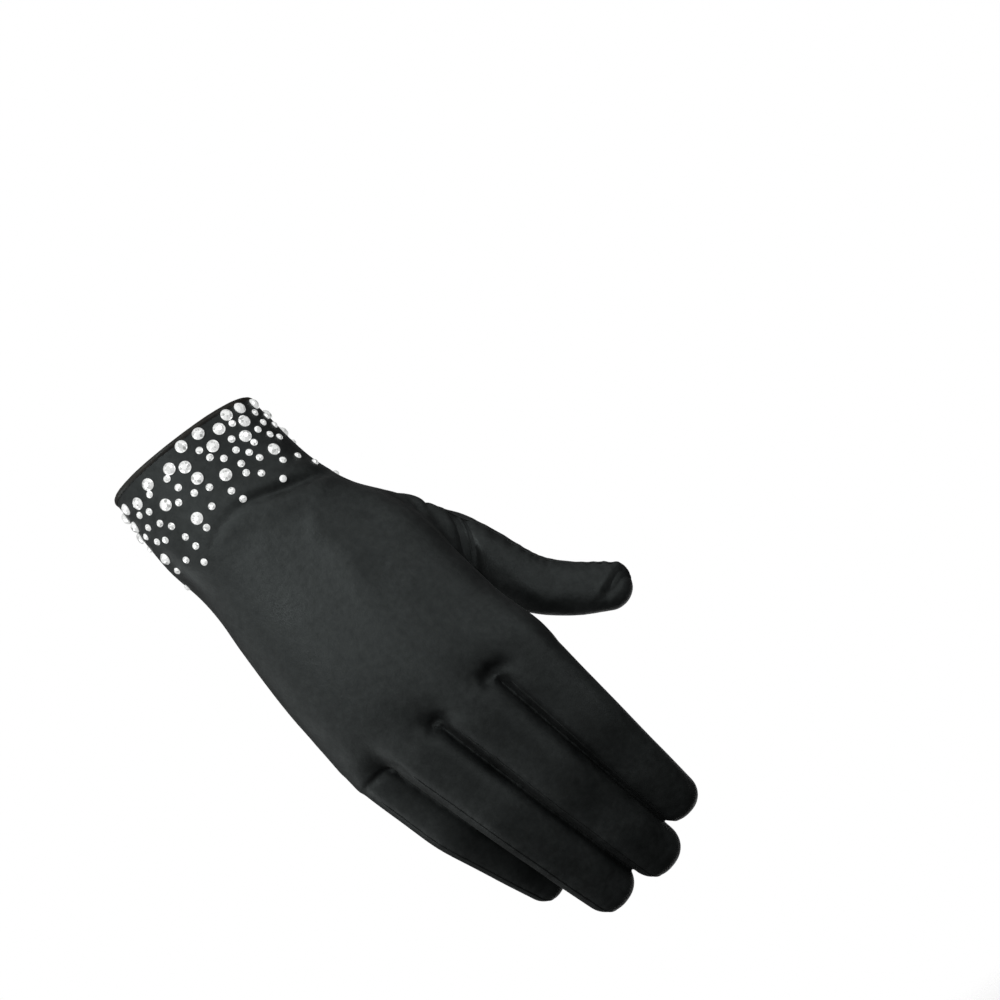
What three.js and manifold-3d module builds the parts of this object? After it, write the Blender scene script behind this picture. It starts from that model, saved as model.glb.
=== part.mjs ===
// A wrist length dress glove for the right hand, in the form it has when worn, with cut stones round
// its cuff. Millimetres. The origin is the centre of the wrist opening, +Z runs up the forearm and the
// fingers point down. The back of the hand faces -Y and the thumb lies towards +X.

import * as THREE from "three";
import Module from "manifold-3d";

const wasm = await Module();
wasm.setup();

// Cloth and clearances
const CLOTH = 1.2; // thickness of the satin wall
const GAP = 0.3; // clearance between two pieces, also where one is sewn to the other

// Cuff and its hem
const CUFF_WIDTH = 52.8; // thumb side to little finger side, at the rim
const CUFF_DEPTH = 39; // back to palm, at the rim
const CUFF_LENGTH = 40; // rim to the seam with the hand
const HEM_HEIGHT = 2.2;
const HEM_PROUD = 0.18; // how far the rolled hem stands out past the cloth, clear of the stones' backs

// Hand between the cuff and the crotches of the fingers
const PALM_WIDTH = 76;
const PALM_DEPTH = 36;
const PALM_LENGTH = 76;

// Fingers, measured from the crotch line to the tip
const INDEX_LENGTH = 74;
const INDEX_WIDTH = 21.8;
const MIDDLE_LENGTH = 85;
const MIDDLE_WIDTH = 22.1;
const RING_LENGTH = 83;
const RING_WIDTH = 19.3;
const LITTLE_LENGTH = 68;
const LITTLE_WIDTH = 15.4;
const FINGER_ROOT = 20; // how far a finger's form runs up inside the palm

// Thumb
const THUMB_LENGTH = 98;
const THUMB_WIDTH = 18.8;

// Stones
const LARGE_STONE = 3.9;
const LARGE_HEIGHT = 1.5;
const SMALL_STONE = 2.3;
const SMALL_HEIGHT = 0.95;
const SMALL_SINK = 0.45; // how deep a small stone is set into the cloth
const TABLE_SHARE = 0.55; // the table's width as a share of the stone's

// How finely the forms are cut
const BODY_POINTS = 28;
const LINING_POINTS = 20;
const FINGER_POINTS = 12;
const FINGER_LINING_POINTS = 8;
const SECTION_STEP = 6; // distance between two sections of the cuff and palm
const LINING_STEP = 11;
const STONE_SIDES = 8;
const WALK_STEPS = 12; // steps in which a finger's axis is followed
const NEAR_ZERO = 1e-6;

// Sections of the cuff: down is a share of its length, the sides are shares of its width and the
// back, front and edge, the line where the section is widest, are shares of its depth
const CUFF_SECTIONS = [
  { down: 0.0, little: -0.5, thumb: 0.5, back: -0.5, front: 0.5, edge: 0.0, tilt: 0 },
  { down: 0.22, little: -0.502, thumb: 0.515, back: -0.5, front: 0.497, edge: 0.0, tilt: 0 },
  { down: 0.45, little: -0.5, thumb: 0.535, back: -0.493, front: 0.487, edge: 0.0, tilt: 0 },
  { down: 0.7, little: -0.488, thumb: 0.575, back: -0.475, front: 0.477, edge: 0.01, tilt: 0 },
];

// Sections of the palm: down is a share of its length, the sides are shares of its width, the
// rest are shares of its depth and tilt, in degrees, lowers the little finger's side
const PALM_SECTIONS = [
  { down: 0.0, little: -0.308, thumb: 0.466, back: -0.487, front: 0.51, edge: 0.03, tilt: 0 },
  { down: 0.12, little: -0.3, thumb: 0.54, back: -0.472, front: 0.55, edge: 0.05, tilt: 0 },
  { down: 0.27, little: -0.306, thumb: 0.6, back: -0.462, front: 0.56, edge: 0.05, tilt: 1 },
  { down: 0.53, little: -0.308, thumb: 0.636, back: -0.456, front: 0.49, edge: 0.03, tilt: 3 },
  { down: 0.74, little: -0.298, thumb: 0.672, back: -0.458, front: 0.37, edge: 0.0, tilt: 5 },
  { down: 0.88, little: -0.282, thumb: 0.71, back: -0.44, front: 0.27, edge: -0.02, tilt: 7 },
  { down: 0.95, little: -0.272, thumb: 0.724, back: -0.39, front: 0.19, edge: -0.03, tilt: 8 },
  { down: 1.0, little: -0.262, thumb: 0.72, back: -0.26, front: 0.07, edge: -0.03, tilt: 8 },
];

// Folds and hollows in the cloth over the back of the hand. across is a share of the palm's width
// and down a share of its length from the seam with the cuff; run and spread are the half length
// and half width of the fold as shares of the palm's width, rise its height as a share of its
// depth, and turn its direction in degrees
const FOLDS = [
  { name: "wrist fold", across: 0.17, down: -0.12, turn: -10, run: 0.3, spread: 0.035, rise: -0.05 },
  { name: "roll below it", across: 0.19, down: -0.03, turn: -10, run: 0.28, spread: 0.045, rise: 0.025 },
  { name: "hollow by the thumb", across: 0.43, down: 0.17, turn: -40, run: 0.1, spread: 0.06, rise: -0.04 },
  { name: "ridge by the hollow", across: 0.33, down: 0.1, turn: 60, run: 0.13, spread: 0.03, rise: 0.02 },
  { name: "index knuckle", across: 0.53, down: 0.76, turn: 80, run: 0.1, spread: 0.08, rise: 0.025 },
  { name: "middle knuckle", across: 0.25, down: 0.78, turn: 78, run: 0.11, spread: 0.08, rise: 0.03 },
  { name: "ring knuckle", across: 0.0, down: 0.79, turn: 76, run: 0.1, spread: 0.07, rise: 0.025 },
];

// Fingers: across is the middle of the root at the crotch line as a share of the palm's width,
// down the crotch line as a share of its length and lift the height of the axis as a share of its
// depth. lean turns the finger to the thumb's side and hook adds to that past the first joint, near,
// mid and far bend its three bones to the palm's side, in degrees, and taper is the width left at the tip
const FINGERS = [
  { name: "index", length: INDEX_LENGTH, width: INDEX_WIDTH, depth: 0.93, taper: 0.645, hook: 0,
    across: 0.585, down: 0.98, lift: -0.15, lean: 8.7, near: 8, mid: 24, far: 36 },
  { name: "middle", length: MIDDLE_LENGTH, width: MIDDLE_WIDTH, depth: 0.93, taper: 0.725, hook: 0,
    across: 0.302, down: 1.0, lift: -0.17, lean: 13.2, near: 9, mid: 26, far: 40 },
  { name: "ring", length: RING_LENGTH, width: RING_WIDTH, depth: 0.98, taper: 0.856, hook: 0,
    across: 0.028, down: 1.02, lift: -0.11, lean: 15.9, near: 8, mid: 24, far: 38 },
  { name: "little", length: LITTLE_LENGTH, width: LITTLE_WIDTH, depth: 1.0, taper: 0.86, hook: 8,
    across: -0.162, down: 1.02, lift: 0.155, lean: 15, near: 6, mid: 25, far: 37 },
];

// Sections along every finger: along is a share of its whole form, width and depth are shares of
// the finger's own
const FINGER_SECTIONS = [
  { along: 0.0, width: 0.56, depth: 0.5 },
  { along: 0.12, width: 0.86, depth: 0.86 },
  { along: 0.2, width: 0.995, depth: 1.0 },
  { along: 0.4, width: 1.0, depth: 1.0 },
  { along: 0.55, width: 1.0, depth: 1.04 },
  { along: 0.68, width: 0.99, depth: 1.02 },
  { along: 0.78, width: 1.0, depth: 1.04 },
  { along: 0.9, width: 1.0, depth: 1.0 },
];
const NEAR_JOINT = 0.52; // places of the two finger joints along the form
const FAR_JOINT = 0.76;
const JOINT_REACH = 0.14; // share of the form that a joint's bend is spread over
const ROOT_FAN = 0.45; // share of a finger's lean that its root has inside the palm
const TIP_TURNS = [22, 45, 66, 83]; // degrees round a finger tip at which sections are cut
const LINING_TIP_TURNS = [35, 72];

// Stations of the thumb's axis from its root, as shares of its length, with its width and depth
// there as shares of its own
const THUMB_TIP = 0.42; // length of its round end as a share of its width
const THUMB_ROOT = { across: 0.27, down: 0.08, lift: 0.12 };
const THUMB_STATIONS = [
  { across: 0.0, down: 0.0, lift: 0.0, width: 1.25, depth: 1.2 },
  { across: 0.125, down: 0.115, lift: 0.075, width: 1.44, depth: 1.34 },
  { across: 0.197, down: 0.197, lift: 0.115, width: 1.3, depth: 1.24 },
  { across: 0.254, down: 0.243, lift: 0.135, width: 1.17, depth: 1.14 },
  { across: 0.31, down: 0.325, lift: 0.155, width: 1.03, depth: 1.02 },
  { across: 0.395, down: 0.508, lift: 0.195, width: 0.98, depth: 0.95 },
  { across: 0.49, down: 0.602, lift: 0.22, width: 0.92, depth: 0.88 },
  { across: 0.587, down: 0.665, lift: 0.235, width: 0.84, depth: 0.8 },
];

// How square the sections are: 2 is an ellipse, more is fuller at the corners
const BODY_SQUARENESS = 2.35;
const FINGER_SQUARENESS = 2.15;

// Profile of the rolled hem: down is a share of its height, swell a share of how far it stands out
const HEM_PROFILE = [
  { down: 0.0, swell: -0.9 },
  { down: 0.28, swell: 1.0 },
  { down: 0.72, swell: 1.0 },
  { down: 1.0, swell: -0.3 },
];

// Rows of stones: down is a share of the cuff's length, the lists are angles round the cuff from
// the thumb's side over the back of the hand to the little finger's side, in degrees. The same
// scatter, turned by half a turn, covers the palm's side
const STONE_ROWS = [
  { down: 0.083, large: [13, 36, 51, 76, 88], small: [] },
  { down: 0.145, large: [63, 117, 153], small: [] },
  { down: 0.163, large: [99, 173], small: [24, 52] },
  { down: 0.193, large: [42, 135], small: [82] },
  { down: 0.21, large: [], small: [9, 104, 121] },
  { down: 0.228, large: [74, 92], small: [] },
  { down: 0.265, large: [], small: [25, 61, 142] },
  { down: 0.285, large: [161], small: [80] },
  { down: 0.303, large: [51], small: [9, 37, 131] },
  { down: 0.317, large: [], small: [102] },
  { down: 0.355, large: [91, 116, 174], small: [64, 74] },
  { down: 0.38, large: [], small: [30, 49, 143] },
  { down: 0.407, large: [], small: [108, 155] },
  { down: 0.427, large: [], small: [22, 58, 97, 130] },
  { down: 0.465, large: [80], small: [68, 90, 174] },
  { down: 0.505, large: [40], small: [55, 124, 146] },
  { down: 0.545, large: [], small: [70, 137] },
  { down: 0.59, large: [106], small: [84, 95] },
  { down: 0.615, large: [], small: [42, 63] },
  { down: 0.635, large: [154], small: [25, 122] },
  { down: 0.69, large: [], small: [83, 106] },
  { down: 0.74, large: [], small: [15, 56, 121] },
  { down: 0.762, large: [], small: [137, 155] },
  { down: 0.87, large: [], small: [127, 177] },
];
const PALM_SIDE_REACH = 0.37; // the stones on the palm's side lie above this share

const radians = THREE.MathUtils.degToRad;

// Solids

function toSolid(points, faces) {
  const mesh = new wasm.Mesh({
    numProp: 3,
    vertProperties: new Float32Array(points.flatMap((point) => point.toArray())),
    triVerts: new Uint32Array(faces),
  });
  return new wasm.Manifold(mesh);
}

// A solid through rings of equal count, each a flat convex loop that turns to the right round the
// way from the first ring to the last
function loft(rings) {
  const count = rings[0].length;
  const faces = [];
  for (let ring = 0; ring + 1 < rings.length; ring += 1) {
    for (let step = 0; step < count; step += 1) {
      const here = ring * count + step;
      const next = ring * count + ((step + 1) % count);
      faces.push(here, next, next + count, here, next + count, here + count);
    }
  }
  const last = (rings.length - 1) * count;
  for (let step = 1; step + 1 < count; step += 1) {
    faces.push(0, step + 1, step, last, last + step, last + step + 1);
  }
  return toSolid(rings.flat(), faces);
}

function unite(solids) {
  return solids.reduce((whole, solid) => whole.add(solid));
}

// The largest body of a solid, without the slivers that a cut can leave
function mainBody(solid) {
  const bodies = solid.decompose();
  return bodies.reduce((best, body) => (body.volume() > best.volume() ? body : best));
}

function toGeometry(solid) {
  const mesh = solid.getMesh();
  const geometry = new THREE.BufferGeometry();
  geometry.setAttribute("position", new THREE.BufferAttribute(mesh.vertProperties, 3));
  geometry.setIndex(new THREE.BufferAttribute(mesh.triVerts, 1));
  geometry.computeVertexNormals();
  return geometry;
}

// A value between the rows of a table, on a smooth curve through them
function between(rows, key, value, column) {
  const last = rows.length - 1;
  let row = 0;
  while (row < last - 1 && value > rows[row + 1][key]) row += 1;
  const slope = (index) => {
    const from = rows[Math.max(index - 1, 0)];
    const to = rows[Math.min(index + 1, last)];
    return (to[column] - from[column]) / (to[key] - from[key]);
  };
  const [from, to] = [rows[row], rows[row + 1]];
  const span = to[key] - from[key];
  const share = THREE.MathUtils.clamp((value - from[key]) / span, 0, 1);
  const square = share * share;
  const cube = square * share;
  return (
    (2 * cube - 3 * square + 1) * from[column] +
    (cube - 2 * square + share) * span * slope(row) +
    (3 * square - 2 * cube) * to[column] +
    (cube - square) * span * slope(row + 1)
  );
}

// The angles of a ring's points: all round, or over one half from seam to seam
function turns(count, half) {
  if (half === "whole") return Array.from({ length: count }, (_, step) => (2 * Math.PI * step) / count);
  const start = half === "back" ? 0 : Math.PI;
  const steps = count / 2;
  return Array.from({ length: steps + 1 }, (_, step) => start + (Math.PI * step) / steps);
}

function rounded(value, squareness) {
  return Math.sign(value) * Math.abs(value) ** (2 / squareness);
}

// Cuff and palm

const BODY_SECTIONS = [
  ...CUFF_SECTIONS.map((row) => ({
    depth: row.down * CUFF_LENGTH,
    little: row.little * CUFF_WIDTH,
    thumb: row.thumb * CUFF_WIDTH,
    back: row.back * CUFF_DEPTH,
    front: row.front * CUFF_DEPTH,
    edge: row.edge * CUFF_DEPTH,
    tilt: row.tilt,
  })),
  ...PALM_SECTIONS.map((row) => ({
    depth: CUFF_LENGTH + row.down * PALM_LENGTH,
    little: row.little * PALM_WIDTH,
    thumb: row.thumb * PALM_WIDTH,
    back: row.back * PALM_DEPTH,
    front: row.front * PALM_DEPTH,
    edge: row.edge * PALM_DEPTH,
    tilt: row.tilt,
  })),
];
const BODY_END = BODY_SECTIONS[BODY_SECTIONS.length - 1].depth;

function foldHeight(x, depth) {
  let height = 0;
  for (const fold of FOLDS) {
    const across = x - fold.across * PALM_WIDTH;
    const down = depth - CUFF_LENGTH - fold.down * PALM_LENGTH;
    const turn = radians(fold.turn);
    const along = across * Math.cos(turn) - down * Math.sin(turn);
    const aside = across * Math.sin(turn) + down * Math.cos(turn);
    const run = along / (fold.run * PALM_WIDTH);
    const spread = aside / (fold.spread * PALM_WIDTH);
    height += fold.rise * PALM_DEPTH * Math.exp(-(run ** 4) - spread ** 2);
  }
  return height;
}

// One ring of the cuff or palm, `depth` below the rim. `offset` moves it out, and `seam` moves
// its two points on the side seams to the palm's side
function bodyRing(depth, count, offset, half = "whole", seam = 0) {
  const at = (column) => between(BODY_SECTIONS, "depth", depth, column);
  const middle = (at("little") + at("thumb")) / 2;
  const reach = (at("thumb") - at("little")) / 2 + offset;
  const edge = at("edge");
  const backReach = edge - at("back") + offset;
  const frontReach = at("front") - edge + offset;
  const pivot = new THREE.Vector2(middle, edge);
  return turns(count, half).map((turn) => {
    const across = rounded(Math.cos(turn), BODY_SQUARENESS);
    const rise = rounded(Math.sin(turn), BODY_SQUARENESS);
    const onBack = Math.sin(turn) > NEAR_ZERO;
    const fold = onBack ? foldHeight(middle + across * reach, depth) * Math.sin(turn) : 0;
    const onSeam = half !== "whole" && Math.abs(Math.sin(turn)) < NEAR_ZERO;
    const y = edge - rise * (onBack ? backReach : frontReach) - fold + (onSeam ? seam : 0);
    const point = new THREE.Vector2(middle + across * reach, y);
    point.rotateAround(pivot, -radians(at("tilt")));
    return new THREE.Vector3(point.x, point.y, -depth);
  });
}

function bodyDepths(from, to, spacing) {
  const steps = Math.ceil((to - from) / spacing);
  return Array.from({ length: steps + 1 }, (_, step) => from + ((to - from) * step) / steps);
}

function bodySolid(from, to, offset, half, seam) {
  const depths = bodyDepths(from, to, SECTION_STEP);
  return loft(depths.map((depth) => bodyRing(depth, BODY_POINTS, offset, half, seam)));
}

function bodyLining(from, to) {
  const depths = bodyDepths(from, to, LINING_STEP);
  return loft(depths.map((depth) => bodyRing(depth, LINING_POINTS, -CLOTH)));
}

// A place on the hand, as shares of the palm's width, depth and length
function onHand({ across, lift, down }) {
  return new THREE.Vector3(across * PALM_WIDTH, lift * PALM_DEPTH, -CUFF_LENGTH - down * PALM_LENGTH);
}

// Fingers

function smooth(value) {
  const share = THREE.MathUtils.clamp(value, 0, 1);
  return share * share * (3 - 2 * share);
}

// Where a finger's form bends and leans, at a share of the way along it
function fingerHeading(finger, share) {
  const nearBend = smooth((share - NEAR_JOINT) / JOINT_REACH + 0.5);
  const farBend = smooth((share - FAR_JOINT) / JOINT_REACH + 0.5);
  const bends = finger.near + (finger.mid - finger.near) * nearBend + (finger.far - finger.mid) * farBend;
  const bend = radians(bends);
  const opened = smooth((share * (finger.length + FINGER_ROOT)) / FINGER_ROOT);
  const lean = radians(finger.lean * (ROOT_FAN + (1 - ROOT_FAN) * opened) + finger.hook * nearBend);
  const flat = Math.cos(bend);
  const way = new THREE.Vector3(Math.sin(lean) * flat, Math.sin(bend), -Math.cos(lean) * flat);
  const side = new THREE.Vector3(Math.cos(lean), 0, Math.sin(lean));
  return { way, side, back: new THREE.Vector3().crossVectors(way, side) };
}

// Frames along a finger at the given shares, found by walking from the crotch line both ways
function fingerFrames(finger, shares) {
  const total = finger.length + FINGER_ROOT;
  const crotch = FINGER_ROOT / total;
  const start = onHand(finger);
  return shares.map((share) => {
    const centre = start.clone();
    for (let step = 0; step < WALK_STEPS; step += 1) {
      const here = crotch + ((share - crotch) * (step + 0.5)) / WALK_STEPS;
      centre.addScaledVector(fingerHeading(finger, here).way, ((share - crotch) * total) / WALK_STEPS);
    }
    return { centre, ...fingerHeading(finger, share) };
  });
}

function tubeRing(frame, width, depth, count, half, seam) {
  return turns(count, half).map((turn) => {
    const onSeam = half !== "whole" && Math.abs(Math.sin(turn)) < NEAR_ZERO;
    const across = rounded(Math.cos(turn), FINGER_SQUARENESS) * width;
    const rise = rounded(Math.sin(turn), FINGER_SQUARENESS) * depth - (onSeam ? seam : 0);
    return frame.centre.clone().addScaledVector(frame.side, across).addScaledVector(frame.back, rise);
  });
}

// A finger as a solid: a tube of changing section with a round end, moved out by `offset`
function fingerSolid(finger, count, offset, part = "whole", seam = 0) {
  const tipTurns = offset < 0 ? LINING_TIP_TURNS : TIP_TURNS;
  const total = finger.length + FINGER_ROOT;
  const tipLength = (finger.width * finger.taper) / 2;
  const tipStart = 1 - tipLength / total;
  const stretch = tipStart / FINGER_SECTIONS.at(-1).along;
  const sections = FINGER_SECTIONS.map((row) => ({ share: row.along * stretch, turn: 0 }));
  for (const turn of tipTurns) {
    const reach = (tipLength + offset) * Math.sin(radians(turn));
    sections.push({ share: tipStart + reach / total, turn: radians(turn) });
  }
  const frames = fingerFrames(finger, sections.map((section) => section.share));
  const rings = sections.map((section, index) => {
    const along = Math.min(section.share, tipStart) / stretch;
    const half = ((1 + (finger.taper - 1) * along) * finger.width) / 2;
    const width = between(FINGER_SECTIONS, "along", along, "width") * half + offset;
    const depth = between(FINGER_SECTIONS, "along", along, "depth") * half * finger.depth + offset;
    const close = Math.cos(section.turn);
    return tubeRing(frames[index], width * close, depth * close, count, part, seam);
  });
  return loft(rings);
}

// Thumb

function thumbSolid(count, offset) {
  const root = onHand(THUMB_ROOT);
  const stations = THUMB_STATIONS.map((row) => {
    const way = new THREE.Vector3(row.across, row.lift, -row.down);
    return root.clone().addScaledVector(way, THUMB_LENGTH);
  });
  const axis = new THREE.CatmullRomCurve3(stations, false, "centripetal");
  const rings = [];
  const lastStation = THUMB_STATIONS.length - 1;
  const tipLength = THUMB_WIDTH * THUMB_TIP;
  const frameAt = (share) => {
    const way = axis.getTangent(share);
    const side = new THREE.Vector3(-way.z, 0, way.x).normalize();
    return { centre: axis.getPoint(share), way, side, back: new THREE.Vector3().crossVectors(way, side) };
  };
  const halfSize = (index, column) => (THUMB_STATIONS[index][column] * THUMB_WIDTH) / 2 + offset;
  for (let index = 0; index <= lastStation; index += 1) {
    const frame = frameAt(index / lastStation);
    rings.push(tubeRing(frame, halfSize(index, "width"), halfSize(index, "depth"), count, "whole", 0));
  }
  for (const turn of TIP_TURNS) {
    const frame = frameAt(1);
    frame.centre.addScaledVector(frame.way, (tipLength + offset) * Math.sin(radians(turn)));
    const close = Math.cos(radians(turn));
    const width = halfSize(lastStation, "width") * close;
    const depth = halfSize(lastStation, "depth") * close;
    rings.push(tubeRing(frame, width, depth, count, "whole", 0));
  }
  return loft(rings);
}

// The hand as a whole

const HAND_TOP = CUFF_LENGTH + GAP / 2;
const OVERCUT = 2; // how far a hollow runs past an open end

function handHalf(half, offset, seam) {
  return unite([
    bodySolid(HAND_TOP, BODY_END + offset, offset, half, seam),
    ...FINGERS.map((finger) => fingerSolid(finger, FINGER_POINTS, offset, half, seam)),
  ]);
}

const lining = unite([
  bodyLining(HAND_TOP - OVERCUT, BODY_END - CLOTH),
  ...FINGERS.map((finger) => fingerSolid(finger, FINGER_LINING_POINTS, -CLOTH)),
]);
const handSpace = handHalf("whole", GAP, 0);
const thumbLining = thumbSolid(FINGER_LINING_POINTS, -CLOTH);

const backPanel = mainBody(handHalf("back", 0, -GAP / 2).subtract(lining).subtract(thumbLining));
const palmPanel = mainBody(
  handHalf("palm", 0, 0).subtract(handHalf("back", GAP, GAP / 2)).subtract(lining).subtract(thumbLining));
const thumb = mainBody(thumbSolid(FINGER_POINTS, 0).subtract(thumbLining).subtract(handSpace));

// Cuff with its hem and stones

const CUFF_TOP = HEM_HEIGHT + GAP;
const CUFF_BOTTOM = CUFF_LENGTH - GAP / 2;

// A point on the cloth of the cuff and the way out of it there
function cuffPlace(down, angle) {
  const depth = down * CUFF_LENGTH;
  const small = 0.02;
  const spot = (turn, below) => {
    const at = (column) => between(BODY_SECTIONS, "depth", below, column);
    const middle = (at("little") + at("thumb")) / 2;
    const reach = (at("thumb") - at("little")) / 2;
    const edge = at("edge");
    const rise = rounded(Math.sin(turn), BODY_SQUARENESS);
    const across = rounded(Math.cos(turn), BODY_SQUARENESS) * reach;
    const onBack = Math.sin(turn) > 0;
    const fold = onBack ? foldHeight(middle + across, below) * Math.sin(turn) : 0;
    const y = edge - rise * (onBack ? edge - at("back") : at("front") - edge) - fold;
    return new THREE.Vector3(middle + across, y, -below);
  };
  const turn = radians(angle);
  const centre = spot(turn, depth);
  const around = spot(turn + small, depth).sub(spot(turn - small, depth));
  const along = spot(turn, depth + 1).sub(spot(turn, depth - 1));
  return { centre, out: new THREE.Vector3().crossVectors(around, along).normalize() };
}

// A cut stone on its place: a flat back, a ring of facets and a table. `lift` raises it off the
// cloth and `sink` sets its back into it
function stoneSolid(place, size, height, lift, sink) {
  const turn = new THREE.Quaternion().setFromUnitVectors(new THREE.Vector3(0, 0, 1), place.out);
  const ring = (radius, rise) => Array.from({ length: STONE_SIDES }, (_, side) => {
    const angle = (2 * Math.PI * side) / STONE_SIDES;
    const point = new THREE.Vector3(Math.cos(angle) * radius, Math.sin(angle) * radius, rise);
    return point.applyQuaternion(turn).add(place.centre);
  });
  return loft([ring(size / 2, lift - sink), ring((size / 2) * TABLE_SHARE, lift + height)]);
}

const largePlaces = [];
const smallPlaces = [];
for (const side of [0, 180]) {
  for (const row of STONE_ROWS) {
    if (side === 180 && row.down > PALM_SIDE_REACH) continue;
    largePlaces.push(...row.large.map((angle) => cuffPlace(row.down, angle + side)));
    smallPlaces.push(...row.small.map((angle) => cuffPlace(row.down, angle + side)));
  }
}

const cuffCloth = bodySolid(CUFF_TOP, CUFF_BOTTOM, 0, "whole", 0).subtract(
  bodyLining(CUFF_TOP - OVERCUT, CUFF_BOTTOM + OVERCUT));
const smallStones = smallPlaces.map((place) => stoneSolid(place, SMALL_STONE, SMALL_HEIGHT, 0, SMALL_SINK));
const cuff = unite([cuffCloth, ...smallStones]);

const hemOutside = (row) => row.swell * HEM_PROUD;
const hemInside = (row) => -CLOTH - row.swell * HEM_PROUD;

function hemRings(offsetOf) {
  return HEM_PROFILE.map((row) => bodyRing(row.down * HEM_HEIGHT, BODY_POINTS, offsetOf(row)));
}

const hemHollow = loft([
  bodyRing(-OVERCUT, BODY_POINTS, hemInside(HEM_PROFILE[0])),
  ...hemRings(hemInside),
  bodyRing(HEM_HEIGHT + OVERCUT, BODY_POINTS, hemInside(HEM_PROFILE.at(-1))),
]);
const cuffHem = loft(hemRings(hemOutside)).subtract(hemHollow);

// The glove

const glove = new THREE.Group();
const satin = { color: 0x0c0c0d, roughness: 0.45, metalness: 0 };
const crystal = { color: 0xe6ebf0, roughness: 0.08, metalness: 0.1 };

function addPiece(name, geometry, look) {
  const mesh = new THREE.Mesh(geometry, new THREE.MeshStandardMaterial(look));
  mesh.name = name;
  glove.add(mesh);
}

addPiece("back_panel", toGeometry(backPanel), satin);
addPiece("palm_panel", toGeometry(palmPanel), satin);
addPiece("thumb", toGeometry(thumb), satin);

addPiece("cuff", toGeometry(cuff), satin);
addPiece("cuff_hem", toGeometry(cuffHem), satin);
largePlaces.forEach((place, index) => {
  const number = String(index + 1).padStart(2, "0");
  addPiece(`rhinestone_${number}`, toGeometry(stoneSolid(place, LARGE_STONE, LARGE_HEIGHT, GAP, 0)), crystal);
});

export default glove;
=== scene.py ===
"""A wrist length dress glove in black satin, with cut stones round its cuff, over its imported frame."""
import math

import bpy
import numpy as np
from mathutils import Matrix, Vector


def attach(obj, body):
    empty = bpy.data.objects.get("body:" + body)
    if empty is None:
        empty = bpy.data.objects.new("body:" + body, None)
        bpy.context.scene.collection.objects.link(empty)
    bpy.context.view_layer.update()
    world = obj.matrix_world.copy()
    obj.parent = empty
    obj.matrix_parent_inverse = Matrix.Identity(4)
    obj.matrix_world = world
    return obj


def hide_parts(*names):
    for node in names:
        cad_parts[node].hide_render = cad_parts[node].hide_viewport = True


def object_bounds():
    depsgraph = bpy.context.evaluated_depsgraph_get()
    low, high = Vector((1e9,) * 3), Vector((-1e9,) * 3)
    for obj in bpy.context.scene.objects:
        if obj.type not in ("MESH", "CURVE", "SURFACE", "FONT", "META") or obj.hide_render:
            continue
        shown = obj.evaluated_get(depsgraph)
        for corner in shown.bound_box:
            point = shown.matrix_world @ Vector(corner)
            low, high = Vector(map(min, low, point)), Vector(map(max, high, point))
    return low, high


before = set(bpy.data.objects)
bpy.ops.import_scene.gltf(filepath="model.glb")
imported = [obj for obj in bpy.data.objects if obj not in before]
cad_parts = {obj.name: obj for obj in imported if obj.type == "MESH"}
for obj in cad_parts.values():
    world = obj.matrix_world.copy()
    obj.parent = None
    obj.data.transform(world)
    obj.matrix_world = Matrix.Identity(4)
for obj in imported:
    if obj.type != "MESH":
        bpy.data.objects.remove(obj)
cad_low, cad_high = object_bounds()

MM = 0.001
TINY = 1e-6  # least length to divide by
CLOTH = 1.2  # thickness of the satin, mm
GRID = 0.8  # spacing of the points that the satin is drawn on, mm
LINING_GRID = 1.9  # and of those of its inner face

# Sizes in mm, as in the part
CUFF_WIDTH = 52.8
CUFF_DEPTH = 39
CUFF_LENGTH = 40
PALM_WIDTH = 76
PALM_DEPTH = 36
PALM_LENGTH = 76
FINGER_ROOT = 20
THUMB_LENGTH = 98
THUMB_WIDTH = 18.8
HEM_HEIGHT = 2.2
BODY_SQUARENESS = 2.35  # power that rounds the sections, 2 for an ellipse

# Greater than in the part
HEM_PROUD = 0.35  # how far the rolled hem stands out past the cloth, mm
FINGER_SQUARENESS = 2.35

# Sections of the cuff: shares of its length, then of its width and its depth, and a tilt in degrees
SECTION_COLUMNS = ("down", "little", "thumb", "back", "front", "edge", "tilt")
CUFF_SECTIONS = [
    (0, -0.5, 0.5, -0.5, 0.5, 0, 0),
    (0.22, -0.502, 0.515, -0.5, 0.497, 0, 0),
    (0.45, -0.5, 0.535, -0.493, 0.487, 0, 0),
    (0.7, -0.488, 0.575, -0.475, 0.477, 0.01, 0),
]
# Sections of the palm, in the same columns
PALM_SECTIONS = [
    (0, -0.308, 0.466, -0.487, 0.51, 0.03, 0),
    (0.12, -0.3, 0.54, -0.472, 0.55, 0.05, 0),
    (0.27, -0.306, 0.6, -0.462, 0.56, 0.05, 1),
    (0.53, -0.308, 0.636, -0.456, 0.49, 0.03, 3),
    (0.74, -0.298, 0.672, -0.458, 0.37, 0, 5),
    (0.88, -0.282, 0.71, -0.44, 0.27, -0.02, 7),
    (0.95, -0.272, 0.724, -0.39, 0.19, -0.03, 8),
    (1, -0.262, 0.72, -0.26, 0.07, -0.03, 8),
]

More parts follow.
